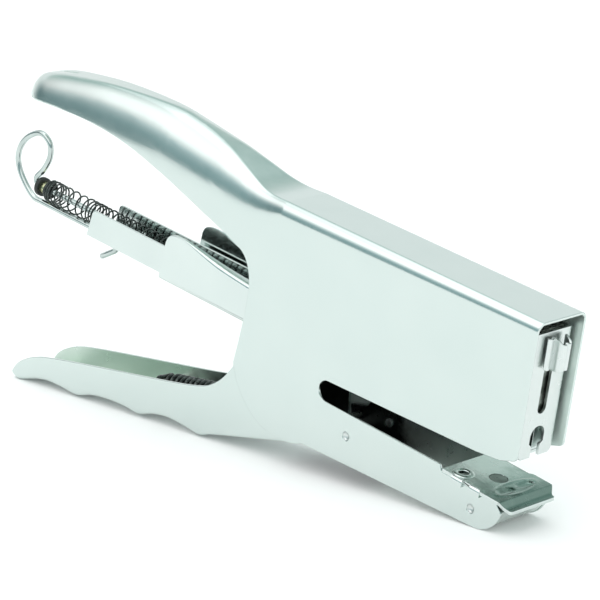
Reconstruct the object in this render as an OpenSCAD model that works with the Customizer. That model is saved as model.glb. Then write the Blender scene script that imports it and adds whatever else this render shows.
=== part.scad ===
// Plier stapler: chromed sheet-metal body, crossing lever handle, hinged magazine with a
// spring-fed follower on a ring-ended pull wire, and a driver that slides in the nose.
// +X points to the jaw, +Y to the left side, +Z up.  It stands on the lever's tip and the arm's nose.

/* [Body] */
// Outer width of the upper shell
body_w = 19; // [18.6:0.1:20]
// Thickness of the shell sheet
shell_t = 0.8; // [0.7:0.05:0.9]
// Height of the pivot above the table
pivot_z = 28; // [27.8:0.1:28.4]
// Slope of the head and magazine, degrees below level
tilt = 10; // [9.5:0.25:10.5]
// Height of the head's top above the pivot, square to the slope
head_top = 45.8; // [45:0.1:47]
// Distance from the pivot to the shell's front edge, along the slope
head_reach = 83.6; // [83.4:0.1:85]
// Radius of the head's long top edges
head_edge_r = 2.25; // [2:0.25:4]
// Radius of the shell plate's round lower corner about the pivot
seam_r = 21; // [20:0.25:22]

/* [Lever handle] */
// Gap between the shell plates and the lever plates
lever_gap = 0.2; // [0.15:0.05:0.25]
// Thickness of the lever sheet
lever_t = 0.8; // [0.7:0.05:0.85]
// Radius of the lever handle's lower edges
lever_edge_r = 1.2; // [1:0.1:2.4]

/* [Magazine] */
// Half of the outer channel's width
channel_hw = 7.5; // [7.4:0.05:7.55]
// Thickness of the channel sheet
channel_t = 0.9; // [0.8:0.05:0.9]
// Half of the staple rail's width, which sets the inside of the staple crown
rail_hw = 5.6; // [5.5:0.05:5.65]
// Thickness of the rail sheet
rail_t = 0.7; // [0.6:0.05:0.75]
// Radius of the pivot pin
pin_r = 2.5; // [2:0.1:2.6]

/* [Feed] */
// Diameter of the pull wire
wire_d = 1.8; // [1.6:0.1:2]
// Outer radius of the follower spring
feed_spring_r = 3.6; // [3.2:0.1:3.65]
// Radius of the dark grommet behind the ring
grommet_r = 2.9; // [2.4:0.1:3.2]

/* [Anvil] */
// Half of the anvil plate's width over the clinch pockets
anvil_hw = 10.4; // [10.2:0.1:11.2]
// Thickness of the anvil plate
anvil_t = 1; // [0.8:0.1:1.1]

/* [Hidden] */
$fn = 48;
chrome = "#dfe5e4";
bright = "#eef2f1";
dark_steel = "#4c5354";
brass = "#b9b47a";
black = "#26302c";

// Side-view stations are written from the lever tip's end at x = 0 of the drawing; the pivot is here.
pivot_x = 98;
half_w = body_w / 2;
lever_hw = half_w - shell_t - lever_gap;
ring_left = -28.4;
knob_front = 188.9;
mid_x = (ring_left + knob_front) / 2;

// Points of the channel and the rail, square to the slope, above the pivot
channel_floor = 5.8;
channel_top = 17;
channel_back = -56.1;
channel_front = 79.2;
rail_floor = channel_floor + channel_t;
rail_top = 15.05;
rail_back = -90.2;
rod_v = 11.3;
rail_rivet_u = [-36, 50];
leg_v = rail_floor + rail_t - wire_d / 2;
housing_face = 81.6;
housing_top = 41.5;
pin_u = 74.5;
pin_v = 38;
knob_v = 36;
knob_rivet_r = 1.1;
driver_pin_r = 1.5;
rail_rivet_r = 1.1;
fit_gap = 0.05;

// Anvil plane: a point under the rivet and its slope
anvil_x = 167.7;
anvil_z = 11.3;
anvil_tilt = 11.5;

// ---------- geometry helpers ----------

function head_point(u, v) = [
    pivot_x + u * cos(tilt) + v * sin(tilt),
    pivot_z - u * sin(tilt) + v * cos(tilt)
];

function spline_at(a, b, c, d, t) = 0.5 * (2 * b + (c - a) * t
    + (2 * a - 5 * b + 4 * c - d) * t * t + (3 * b - a - 3 * c + d) * t * t * t);

// A smooth curve through the points, with n steps between neighbours
function smooth(p, n) = [
    for (i = [0:len(p) - 2]) for (k = [0:n - 1])
        spline_at(p[max(i - 1, 0)], p[i], p[i + 1], p[min(i + 2, len(p) - 1)], k / n),
    p[len(p) - 1]
];

function arc(c, r, from, to, n) = [
    for (i = [0:n]) c + r * [cos(from + (to - from) * i / n), sin(from + (to - from) * i / n)]
];

function unit(v) = v / norm(v);

module at_origin() translate([-mid_x, 0, 0]) children();
module in_head() at_origin() translate([pivot_x, 0, pivot_z]) rotate([0, tilt, 0]) children();

// Extrudes a side view, drawn in X and Z, between two y values
module side_plate(y0, y1) translate([0, y1, 0]) rotate([90, 0, 0]) linear_extrude(y1 - y0) children();
module both_sides() { children(); mirror([0, 1, 0]) children(); }
module block(low, high) translate(low) cube(high - low);
module cross_pin(r, hy) rotate([90, 0, 0]) cylinder(r = r, h = 2 * hy, center = true);

// Cross-section of a folded sheet: straight sides and a crown with rounded edges, r wide and deep * r
// high.  way is 1 for a crown on top and -1 for a crown underneath.
function crown_section(w, z, r, deep, open_z, way, n) = concat(
    [[-w, open_z]],
    [for (i = [0:n]) [-w + r - r * cos(90 * i / n), z - way * deep * r * (1 - sin(90 * i / n))]],
    [for (i = [0:n]) [w - r + r * sin(90 * i / n), z - way * deep * r * (1 - cos(90 * i / n))]],
    [[w, open_z]]
);

// Skins a list of equal-length rings of points into a closed solid
module skin(rings, flip) {
    m = len(rings[0]);
    last = len(rings) - 1;
    points = [for (ring = rings) each ring];
    walls = [for (i = [0:last - 1]) for (k = [0:m - 1])
        let (a = i * m + k, b = i * m + (k + 1) % m, c = a + m, d = b + m)
        each [[a, c, b], [b, c, d]]];
    caps = [[for (k = [0:m - 1]) k], [for (k = [m - 1:-1:0]) last * m + k]];
    faces = concat(walls, caps);
    polyhedron(points, flip ? [for (f = faces) [for (k = [len(f) - 1:-1:0]) f[k]]] : faces);
}

// Sweeps a round wire along a path without twisting it
function path_dirs(p) = [for (i = [0:len(p) - 1])
    unit(p[min(i + 1, len(p) - 1)] - p[max(i - 1, 0)])];
function square_to(v, t) = unit(v - (v * t) * t);
module wire(path, r, sides, start) {
    dirs = path_dirs(path);
    last = len(path) - 1;
    side = [for (i = 0, s = square_to(start, dirs[0]); i <= last;
        i = i + 1, s = i <= last ? square_to(s, dirs[i]) : s) s];
    skin([for (i = [0:last]) [for (k = [0:sides - 1])
        path[i] + r * (cos(360 * k / sides) * side[i] + sin(360 * k / sides) * cross(dirs[i], side[i]))]],
        false);
}

// ---------- outlines seen from the side ----------

// Rear and lower edge of the shell, from the handle's tip to the round corner at the pivot
shell_edge = [[-18, 91.4], [-16, 90.2], [-13.5, 89.2], [-9, 88.5], [-1, 87.9], [17, 85.4], [33, 81.3],
    [48, 75.2], [64, 67.4], [76, 61.3], [81.6, 57.6], [83.6, 52], [82.9, 45], [79.6, 33.5], [77.1, 26]];
// Height of the shell's crown line, from the tip to the head
crown_line = [[-16.3, 90.9], [-15.2, 93.2], [-11.6, 95.2], [-5, 96.3], [4, 96.6], [21, 96.1], [42.5, 93.6],
    [55, 90.4], [67.5, 85.9], [76.4, 81.7], [84.5, 77.7], [90.5, 75.7], [97, head_line(97)]];
function head_line(x) = pivot_z + head_top / cos(tilt) - (x - pivot_x) * tan(tilt);

// The arm: lower jaw below the throat
throat_c = [113.9, 25.2];
throat_r = 3;
arm_nose_c = [168.4, 9];
arm_nose_r = 9;
arm_heel = [104.5, 8.2];
arm_slope = 7.5;
arm_step = [155.8, 14.4];
// The nose starts this far below level, so that the anvil's bent lip clears it
arm_nose_from = -20;
arm_front_x = 175.1;

function on_anvil(x, drop) = [x, anvil_z - (x - anvil_x) * tan(anvil_tilt) - drop / cos(anvil_tilt)];

module shell_side() polygon(concat(
    [head_point(head_reach, 70), head_point(head_reach, 9)],
    [for (p = arc([0, 0], 1.6, 0, -80, 4)) head_point(head_reach - 1.6, 9) + p],
    [[176.3, 20.3], [168, 20.8], throat_c + throat_r * [0.14, 0.99]],
    arc(throat_c, throat_r, 95, 257, 9),
    [arm_step, on_anvil(arm_step[0] + 0.3, anvil_t), on_anvil(arm_front_x, anvil_t)],
    arc(arm_nose_c, arm_nose_r, arm_nose_from, -90 - arm_slope, 10),
    [arm_heel],
    arc([pivot_x, pivot_z + 0.3], seam_r, 288, 190, 16),
    [for (i = [len(shell_edge_curve) - 1:-1:0]) shell_edge_curve[i]],
    [[-40, 91.4], [-40, 130]]
));
shell_edge_curve = smooth(shell_edge, 4);

// Upper edge of the lever handle, from its tip to where the shell hides it
lever_rim = [[-23.4, 0.6], [-22.6, 2.6], [-19, 5.9], [-12, 8.7], [-2, 10.2], [22, 12.1], [50, 14.1],
    [61.5, 15.4], [67, 17], [72, 20.2], [77, 25.5], [83, 34], [90, 46], [101, 57]];
// Underside of the lever handle with its finger grooves
lever_floor = [[-23.4, 2.2], [-22.2, 0.6], [-19.6, 0], [-12, 1.6], [-6, 2.1], [1, 1.4], [7, 0.6], [14, 2],
    [22, 2.3], [29, 1.8], [35, 0.9], [41, 2.2], [48, 2.6], [55, 1.6], [61, 0.5], [66, 1.6], [76, 3.3],
    [90, 5.5], [104, 7.7], [120, 10.2], [180, 19.6]];
lever_floor_end = 96;

module lever_side() polygon(concat(
    [[-40, -4], [104.3, -4], [104.3, 8], [105.4, 15]],
    arc([pivot_x, pivot_z], 11, -45, 15, 8),
    [head_point(16, 11), head_point(30, 19), head_point(60, 31.5), head_point(73, 33.4)],
    [for (p = arc([0, 0], 3.6, -90 - tilt, 80, 8)) head_point(pin_u, pin_v - 0.3) + p],
    [head_point(62, 42), head_point(24, 40)],
    [for (i = [len(lever_rim_curve) - 1:-1:0]) lever_rim_curve[i]],
    [[-40, 0.6]]
));
lever_rim_curve = smooth(lever_rim, 3);

// ---------- upper shell, lower jaw and pivot ----------

// Half-width of the handle's tip, seen from above: a half ellipse
function tip_width(x, tip, full, hw) = x >= full ? hw
    : max(0.5, hw * sqrt(max(0, 1 - pow((full - x) / (full - tip), 2))));
// Width of the crown's bend by station: nearly half an oval on the handle, a tight bend on the head
crown_width = smooth([[-17, 6.4], [0, 6.8], [30, 8], [50, half_w - 0.4], [62, 8.5], [72, 6.6], [82, 4.4],
    [92, 3.3], [112, head_edge_r]], 3);
function crown_r(x) = lookup(x, crown_width);
// How far the bend reaches down the sides, by station, and the same as a number of radii
crown_drop = smooth([[-17, 8], [0, 11.5], [18, 15], [39, 16.6], [52, 16], [63, 14.6], [71, 13.2], [79, 11],
    [88, 7.6], [98, 4.8], [112, head_edge_r]], 3);
function crown_deep(x) = lookup(x, crown_drop) / crown_r(x);

module shell_form(t) {
    line = concat(smooth(crown_line, 4), [[210, head_line(210)]]);
    skin([for (p = line)
        let (x = p[0] + (p[0] < 0 ? t * min(1, -p[0] / 10) : 0),
             w = max(tip_width(p[0], -16.5, -4, half_w) - t, 0.4 + 0.02 * (p[0] + 21)),
             r = min(max(crown_r(p[0]) - t, 0.3), w - 0.2))
        [for (q = crown_section(w, p[1] - t, r, crown_deep(p[0]), -6 - t, 1, 7)) [x, q[0], q[1]]]],
        true);
}

module upper_shell() color(chrome) at_origin() difference() {
    intersection() {
        difference() {
            shell_form(0);
            shell_form(shell_t);
        }
        side_plate(-half_w - 1, half_w + 1) shell_side();
    }
    translate([pivot_x, 0, pivot_z]) cross_pin(pin_r, half_w + 1);
    for (p = rivet_places) translate([p[0], 0, p[1]]) cross_pin(rivet_r, half_w + 1);
    hull() for (x = [-5.4, 1.2]) translate([x, 0, 90]) cylinder(r = 0.55, h = 12, $fn = 24);
}

rivet_places = [[121.2, 14.2], [166.4, 4.9]];
rivet_r = 1.25;

// Inside of the shell's arm, inset by d from the shell's own edge
module arm_inner(d, top) polygon(concat(
    [[106.3, 16.4 + top], [112.6, 17 + top], [115.5, 20.6 + top], arm_step + [0, top - 1.4],
        on_anvil(arm_step[0] + 0.3, anvil_t - top), on_anvil(arm_front_x - d, anvil_t - top)],
    arc(arm_nose_c, arm_nose_r - d, arm_nose_from, -90 - arm_slope, 10),
    [arm_heel + [1.8, d - 0.2]]
));

module anvil_channel() color(dark_steel) at_origin() {
    outer_y = half_w - shell_t;
    difference() {
        side_plate(-outer_y, outer_y) arm_inner(0.3, 0);
        side_plate(-outer_y + shell_t, outer_y - shell_t) arm_inner(0.3 + shell_t, 20);
        translate([front_anchor[0], 0, front_anchor[1]]) cross_pin(spring_pin_r, half_w);
        for (p = rivet_places) translate([p[0], 0, p[1]]) cross_pin(rivet_r, half_w);
    }
}

module side_rivets() color(bright) at_origin() both_sides() for (p = rivet_places)
    translate([p[0], 0, p[1]]) difference() {
        translate([0, -half_w + 0.15, 0]) rotate([-90, 0, 0]) cylinder(r = rivet_r, h = 2.1);
        translate([0, -half_w - 0.85, 0]) sphere(r = 1.5);
    }

module on_anvil_plane() at_origin() translate([anvil_x, 0, anvil_z]) rotate([0, anvil_tilt, 0]) children();

anvil_back = -11.4;
anvil_wide = 2;
anvil_bend = 9.4;
// Half the width of the plate's turned-down lip
lip_hw = 8.6;
// Middle of a clinch pocket and its length
pocket = [6, 3.7];
pocket_l = 6.2;
// Raised eyelet behind the rivet
eyelet = [-6.6, -6.4];
eyelet_r = 2.65;
anvil_rivet_r = 2.45;

module anvil_plate() color(chrome) on_anvil_plane() difference() {
    union() {
        translate([0, 0, -anvil_t]) linear_extrude(anvil_t) polygon([
            [anvil_back, -half_w], [anvil_wide, -half_w], [anvil_wide + 1, -anvil_hw],
            [anvil_bend, -anvil_hw], [anvil_bend, anvil_hw], [anvil_wide + 1, anvil_hw],
            [anvil_wide, half_w], [anvil_back, half_w]]);
        side_plate(-lip_hw, lip_hw) polygon([
            [anvil_bend - 0.4, 0], [anvil_bend, 0], [anvil_bend + 1.3, -1.5], [anvil_bend + 3.3, -1.8],
            [anvil_bend + 3.3, -2.8], [anvil_bend + 1, -2.6], [anvil_bend - 0.4, -anvil_t]]);
        both_sides() for (x = [-7.6, -1.2])
            block([x, half_w + 0.05, -2], [x + 3.8, half_w + 0.75, -0.2]);
        both_sides() for (x = [-7.6, -1.2])
            block([x, half_w - 0.6, -anvil_t], [x + 3.8, half_w + 0.75, 0]);
        translate([eyelet[0], eyelet[1], -anvil_t]) cylinder(r = eyelet_r, h = anvil_t + 0.4);
    }
    translate([0, 0, -3]) cylinder(r = anvil_rivet_r + fit_gap, h = 6);
    translate([eyelet[0], eyelet[1], -3]) cylinder(r = eyelet_r - 1, h = 6);
    both_sides() translate([pocket[0], pocket[1], 1.95]) rotate([90, 0, 0])
        cylinder(r = 2.4, h = pocket_l, center = true);
}

module anvil_rivet() color(bright) on_anvil_plane() {
    translate([0, 0, -anvil_t - 0.6]) cylinder(r = anvil_rivet_r, h = anvil_t + 0.55);
    translate([0, 0, -anvil_t - 0.6]) cylinder(r = 3.4, h = 0.6);
}

module pivot_pin() color(chrome) at_origin() translate([pivot_x, 0, pivot_z])
    cross_pin(pin_r, half_w - 0.05);

module pivot_sleeve() color(dark_steel) at_origin() translate([pivot_x, 0, pivot_z]) difference() {
    cross_pin(3.5, channel_hw - channel_t - 0.15);
    cross_pin(pin_r, half_w);
}

front_anchor = [109.6, 13.8];
rear_anchor = [36.5, 9];
spring_pin_r = 1.2;

module front_spring_pin() color(dark_steel) at_origin()
    translate([front_anchor[0], 0, front_anchor[1]]) cross_pin(spring_pin_r, half_w - shell_t);

// Torsion spring round the pivot sleeve: it lifts the magazine off the jaw
module magazine_spring() color(dark_steel) {
    r = 4.35;
    turns = 4;
    pitch = 1.35;
    coil = [for (i = [0:turns * 12 + 5]) let (a = 90 + 30 * i)
        [r * cos(a), (turns / 2) * pitch - pitch * i / 12, r * sin(a)]];
    end_y = coil[len(coil) - 1][1];
    path = concat([[19, turns / 2 * pitch + 0.3, 5.1], [9, turns / 2 * pitch + 0.2, 4.85]], coil,
        [[8, end_y - 0.2, -6.6], [24, end_y - 0.3, -15.4]]);
    in_head() wire(path, 0.5, 6, [0, 1, 0]);
}

// ---------- lever handle ----------

module lever_form(t) {
    line = smooth(lever_floor, 3);
    skin([for (p = line)
        let (w = tip_width(p[0], -24.4, -22.9, lever_hw) - t,
             x = p[0] + (p[0] < -17 ? t * min(1, (-17 - p[0]) / 4) : 0),
             cut = t > 0 && p[0] > lever_floor_end,
             z = cut ? -12 : p[1] + t)
        [for (q = crown_section(w, z, lever_edge_r - 0.8 * t, 1, 100 + t, -1, 5)) [x, q[0], q[1]]]], false);
}

// Slot in the lever for the driver's pin: its slope, its length and its half-width
slot_slope = 18.4;
slot_run = 4.3;
slot_r = 1.75;

module lower_handle() color(chrome) at_origin() difference() {
    intersection() {
        difference() {
            lever_form(0);
            lever_form(lever_t);
        }
        side_plate(-half_w, half_w) lever_side();
    }
    translate([pivot_x, 0, pivot_z]) cross_pin(pin_r + fit_gap, half_w);
    translate([pivot_x, 0, pivot_z]) rotate([0, tilt, 0]) side_plate(-half_w, half_w) polygon(concat(
        arc([pin_u, pin_v], slot_r, slot_slope - 90, slot_slope + 90, 10),
        arc([pin_u, pin_v] - slot_run * [cos(slot_slope), sin(slot_slope)], slot_r,
            slot_slope + 90, slot_slope + 270, 10)));
}

module rear_spring_pin() color(dark_steel) at_origin()
    translate([rear_anchor[0], 0, rear_anchor[1]]) cross_pin(spring_pin_r, lever_hw - lever_t);

// Extension spring in the lever's channel, hooked on a pin at each end
module return_spring() color(dark_steel) {
    span = norm(front_anchor - rear_anchor);
    lift = atan2(front_anchor[1] - rear_anchor[1], front_anchor[0] - rear_anchor[0]);
    wire_r = 0.65;
    hook_r = spring_pin_r + wire_r + 0.05;
    coil_r = 3.2;
    turns = 28;
    first = 5;
    pitch = 2;
    coil = [for (i = [0:turns * 12]) let (a = 90 + 30 * i)
        [first + pitch * i / 12, coil_r * cos(a), coil_r * sin(a)]];
    path = concat(
        [for (a = [-100:-40:-260]) [hook_r * cos(a), 0, hook_r * sin(a)]],
        [[2.2, 0, 2.4]],
        coil,
        [[first + turns * pitch + 2.5, 0, 2.2]],
        [for (a = [80:-40:-80]) [span + hook_r * cos(a), 0, hook_r * sin(a)]]);
    at_origin() translate([rear_anchor[0], 0, rear_anchor[1]]) rotate([0, -lift, 0])
        wire(path, wire_r, 6, [0, 1, 0]);
}

// ---------- magazine ----------

// Upper edge of the channel's side: a hump at the mouth that falls to the level flange
channel_hump = [[-54.5, 17.6], [-53.7, 19.6], [-51.6, 20.7], [-47, 20.9], [-42, 20.2], [-30, 18.2],
    [-17, 17.1]];
flange_start = -47;

module channel_side() difference() {
    union() {
        polygon(concat([[channel_back, channel_floor]], channel_hump,
            [[-8, channel_top], [channel_front, channel_top], [channel_front, channel_floor]]));
        polygon(concat([[-13, channel_floor + 0.5], [13, channel_floor + 0.5]],
            arc([0, 0], 6.4, 10, -190, 14)));
    }
    circle(r = pin_r + fit_gap);
}

module magazine_channel() color(bright) in_head() {
    inner_y = channel_hw - channel_t;
    flange_y = 4.3;
    difference() {
        block([channel_back, -channel_hw, channel_floor], [channel_front, channel_hw, rail_floor]);
        rail_rivet_holes();
    }
    both_sides() side_plate(inner_y, channel_hw) channel_side();
    both_sides() intersection() {
        side_plate(flange_y, channel_hw) polygon(concat(
            [for (p = channel_hump) if (p[0] >= flange_start) p], [[-8, channel_top], [66, channel_top],
            [66, channel_top - channel_t], [-8, channel_top - channel_t]],
            [for (i = [len(channel_hump) - 1:-1:0]) if (channel_hump[i][0] >= flange_start)
                channel_hump[i] - [0.2, channel_t]]));
        linear_extrude(40) polygon([[flange_start, channel_hw + 1], [flange_start, inner_y + 0.3],
            [-26, flange_y + 0.9], [-10, flange_y], [70, flange_y], [70, channel_hw + 1]]);
    }
}

module front_housing() color(bright) in_head() difference() {
    inner_y = channel_hw - channel_t;
    back = 66;
    corner = 1.6;
    face_in = housing_face - channel_t;
    union() {
        difference() {
            translate([0, 0, channel_top + 0.1]) linear_extrude(housing_top - channel_top - 0.1)
                housing_plan(back, channel_hw, housing_face, corner);
            translate([0, 0, channel_top - 1]) linear_extrude(40)
                housing_plan(back - 1, inner_y, face_in, corner - channel_t);
        }
        intersection() {
            translate([0, 0, channel_floor + 0.5]) linear_extrude(housing_top - channel_floor - 0.5)
                housing_plan(back, channel_hw, housing_face, corner);
            block([face_in, -20, 0], [housing_face + 1, 20, 60]);
        }
    }
    both_sides() side_plate(5, 9) polygon(concat(arc([pin_u, pin_v + 0.2], 1.8, 0, 180, 10),
        arc([pin_u, pin_v - 10.8], 1.8, 180, 360, 10)));
    rotate([0, 90, 0]) linear_extrude(100) rotate([0, 0, 90]) nose_openings();
    for (y = [-1, 1]) translate([60, y * channel_hw, channel_floor]) rotate([0, 90, 0]) nose_corner(y);
}

module nose_corner(y) linear_extrude(40) polygon([[-0.4, -y * 2.4], [-0.4, y], [-3, y]]);

module housing_plan(back, hw, face, r) polygon(concat(
    [[back, -hw]], [for (p = arc([face - r, -hw + r], r, -90, 0, 5)) p],
    [for (p = arc([face - r, hw - r], r, 0, 90, 5)) p], [[back, hw]]));

// Openings in the housing's face, drawn with x across and y up: the knob's slot, the arch and
// the notch between the two feet
module nose_openings() {
    polygon(concat(arc([0, 38.2], 1.6, 0, 180, 10), arc([0, 20], 1.6, 180, 360, 10)));
    polygon(concat(arc([0, 12.2], 2.7, 0, 180, 12), [[-2.7, 10.2], [-1.65, 9.4], [-1.65, 5], [1.65, 5],
        [1.65, 9.4], [2.7, 10.2]]));
}

module staple_rail() color(chrome) in_head() difference() {
    side_plate(-rail_hw, rail_hw) polygon(concat([[rail_back, rail_floor]],
        arc([rail_back + 3.2, rail_top - 1.6], 1.6, 172, 90, 5),
        [[channel_front, rail_top], [channel_front, rail_floor]]));
    block([rail_back - 5, -rail_hw + rail_t, rail_floor + rail_t],
            [channel_front - 3, rail_hw - rail_t, 20]);
    block([channel_front - 3.5, -1.5, rail_floor + rail_t], [channel_front + 1, 1.5, 20]);
    block([rail_back - 5, -wire_d / 2 - 0.3, 0], [-82, wire_d / 2 + 0.3, 9]);
    translate([-82, 0, 0]) cylinder(r = wire_d / 2 + 0.3, h = 9);
    rail_rivet_holes();
}

module rail_rivets() color(dark_steel) in_head() for (u = rail_rivet_u) {
    translate([u, 0, channel_floor - 0.35]) cylinder(r = 2, h = 0.35);
    translate([u, 0, channel_floor - 0.35]) cylinder(r = rail_rivet_r, h = 2);
    translate([u, 0, rail_floor + rail_t]) cylinder(r = 1.7, h = 0.25);
}
module rail_rivet_holes() for (u = rail_rivet_u) translate([u, 0, channel_floor - 1])
    cylinder(r = rail_rivet_r, h = 4);

// ---------- driver ----------

module driver_carrier() color(dark_steel) in_head() difference() {
    union() {
        block([70.5, -6.3, 33.5], [79.6, 6.3, 41.2]);
        block([76.6, -5, 30], [79.6, 5, 33.6]);
    }
    translate([pin_u, 0, pin_v]) cross_pin(driver_pin_r, 20);
    knob_rivet_shape(20);
}

module driver_pin() color(bright) in_head() translate([pin_u, 0, pin_v]) cross_pin(driver_pin_r, lever_hw);

module driver_blade() color(bright) in_head() difference() {
    block([79.6, -6.3, 16.2], [80.3, 6.3, 40.8]);
    knob_rivet_shape(20);
}

knob_back = 81.9;
knob_front_u = 85.6;
// Plan of the folded tab: a flange on the housing's face and a hollow ridge beside it
knob_plan = [[knob_back, -3.7], [knob_back + 1, -3.2], [knob_back + 1.3, -2.3], [knob_back + 1, -1.2],
    [knob_front_u - 1.2, -0.85], [knob_front_u - 0.3, -0.2], [knob_front_u, 0.6], [knob_front_u, 2.4],
    [knob_front_u - 0.7, 3.3], [knob_back + 1.2, 3.9], [knob_back, 4]];
knob_bore = [[knob_back + 1, 0], [knob_front_u - 1.5, 0.1], [knob_front_u - 0.9, 0.8],
    [knob_front_u - 1, 2.2], [knob_back + 1, 3]];

module driver_knob() color(chrome) in_head() difference() {
    intersection() {
        translate([0, 0, 30.6]) linear_extrude(10) polygon(knob_plan);
        side_plate(-5, 5) polygon(concat([[knob_back, 31.4]],
            arc([knob_front_u - 1.1, 32.2], 1.1, -90, 0, 5),
            arc([knob_front_u - 2, 37.8], 2, 0, 60, 5), [[knob_back + 1.2, 40.1], [knob_back, 40.4]]));
    }
    translate([0, 0, 30]) linear_extrude(12) polygon(knob_bore);
    knob_rivet_shape(knob_rivet_l);
}

knob_rivet_u = 76.8;
knob_rivet_l = 6.4;
module knob_rivet_shape(l) translate([knob_rivet_u, 0, knob_v]) rotate([0, 90, 0])
    cylinder(r = knob_rivet_r, h = l);
module knob_rivet() color(bright) in_head() knob_rivet_shape(knob_rivet_l);

// ---------- feed: pull wire, follower and spring ----------

// Pull wire in the head's plane: hook, lower leg, ring and rod
hook_c = [-84.6, leg_v - 2];
ring_curve = smooth([[-118, leg_v], [-121.6, leg_v + 0.2], [-125.6, 9.3], [-129, 12.9], [-130.4, 17],
    [-129.2, 21.2], [-125.8, 25], [-120.8, 27.4], [-116.6, 25.7], [-115.8, 21.6], [-118, 16.9],
    [-120.9, 13.4], [-120.4, 11.6], [-118.6, rod_v]], 4);
rod_front = -32;

module pull_wire() color(chrome) {
    hook = arc(hook_c, 2, -56, 90, 8);
    side = concat([hook[0] - 6 * [0.829, 0.559]], hook,
        [[-100, leg_v]], ring_curve, [[-100, rod_v], [rod_front, rod_v]]);
    in_head() wire([for (p = side) [p[0], 0, p[1]]], wire_d / 2, 10, [0, 1, 0]);
}

module on_rod(u0, u1, r, bore) in_head() translate([u0, 0, rod_v]) rotate([0, 90, 0]) difference() {
    cylinder(r = r, h = u1 - u0);
    translate([0, 0, -1]) cylinder(r = bore, h = u1 - u0 + 2);
}

module grommet() color(black) on_rod(-118.6, -117.2, grommet_r, wire_d / 2 + fit_gap);
module end_sleeve() color(brass) on_rod(-117.2, -114.9, 1.9, wire_d / 2 + fit_gap);
module spring_washer() color(black) on_rod(-114.9, -113.9, 2.7, wire_d / 2 + fit_gap);
module follower_spring() color(dark_steel) on_rod(-113.9, 61.9, feed_spring_r, feed_spring_r - 0.5);

module follower() color(dark_steel) in_head() {
    difference() {
        block([62, -4.5, rail_floor + rail_t + 0.3], [75.6, 4.5, rail_top + 0.25]);
        translate([61, 0, rod_v]) rotate([0, 90, 0]) cylinder(r = 1.4, h = 11);
    }
    block([64, -6.2, rail_top + 0.25], [78.6, 6.2, rail_top + 0.85]);
}

// ---------- the assembly ----------

upper_shell();
anvil_channel();
side_rivets();
anvil_plate();
anvil_rivet();
pivot_pin();
pivot_sleeve();
front_spring_pin();
magazine_spring();
lower_handle();
rear_spring_pin();
return_spring();
magazine_channel();
front_housing();
staple_rail();
rail_rivets();
driver_carrier();
driver_pin();
driver_blade();
driver_knob();
knob_rivet();
pull_wire();
grommet();
end_sleeve();
spring_washer();
follower_spring();
follower();
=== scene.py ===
"""Looks of the plier stapler: smooth sheet-metal pieces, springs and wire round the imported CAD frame.

Shapes are worked out in millimetres in the drawing's side view and turned into metres in the row frame.
"""
import math

import bmesh
import bpy
import numpy as np
from mathutils import Matrix, Vector


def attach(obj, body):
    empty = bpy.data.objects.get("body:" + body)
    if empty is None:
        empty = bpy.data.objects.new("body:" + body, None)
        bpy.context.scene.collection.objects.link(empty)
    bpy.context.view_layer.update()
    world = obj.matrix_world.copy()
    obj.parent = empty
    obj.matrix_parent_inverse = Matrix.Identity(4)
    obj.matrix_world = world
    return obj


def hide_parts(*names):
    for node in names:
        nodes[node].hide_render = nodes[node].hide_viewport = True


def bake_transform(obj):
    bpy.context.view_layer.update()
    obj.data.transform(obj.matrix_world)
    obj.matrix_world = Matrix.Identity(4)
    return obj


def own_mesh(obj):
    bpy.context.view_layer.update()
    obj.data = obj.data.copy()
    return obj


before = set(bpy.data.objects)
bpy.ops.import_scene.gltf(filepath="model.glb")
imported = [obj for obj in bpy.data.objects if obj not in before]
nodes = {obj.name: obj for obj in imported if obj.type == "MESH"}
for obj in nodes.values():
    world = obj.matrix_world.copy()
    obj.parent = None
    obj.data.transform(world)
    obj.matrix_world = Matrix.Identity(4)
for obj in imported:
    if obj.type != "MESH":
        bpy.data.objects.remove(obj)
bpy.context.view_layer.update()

# ---------------------------------------------------------------- frames of reference
MM = 0.001
MID_X = 80.25
PIVOT = (98.0, 28.0)
TILT = math.radians(10)
ANVIL = (167.7, 11.3)
ANVIL_TILT = math.radians(11.5)

SIDE = Matrix.Scale(MM, 4) @ Matrix.Translation((-MID_X, 0, 0))
HEAD = SIDE @ Matrix.Translation((PIVOT[0], 0, PIVOT[1])) @ Matrix.Rotation(TILT, 4, "Y")
ANVIL_PLANE = SIDE @ Matrix.Translation((ANVIL[0], 0, ANVIL[1])) @ Matrix.Rotation(ANVIL_TILT, 4, "Y")

HALF_W, SHEET, LEVER_GAP = 9.5, 0.8, 0.2
LEVER_HW = HALF_W - SHEET - LEVER_GAP
HEAD_TOP, HEAD_REACH, HEAD_EDGE = 45.8, 83.6, 2.25
SEAM_R = 21.0
BORE_R = 2.55  # bore round the pivot's sleeve

# Cutting tools are wider and longer than anything that they cut
CUT_HW, CUT_LENGTH = 12, 30


def head_point(u, v):
    """Side-view point of a place in the head's own axes."""
    return (PIVOT[0] + u * math.cos(TILT) + v * math.sin(TILT),
            PIVOT[1] - u * math.sin(TILT) + v * math.cos(TILT))


def head_line(x):
    """Height of the head's flat top at x."""
    return PIVOT[1] + HEAD_TOP / math.cos(TILT) - (x - PIVOT[0]) * math.tan(TILT)


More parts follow.
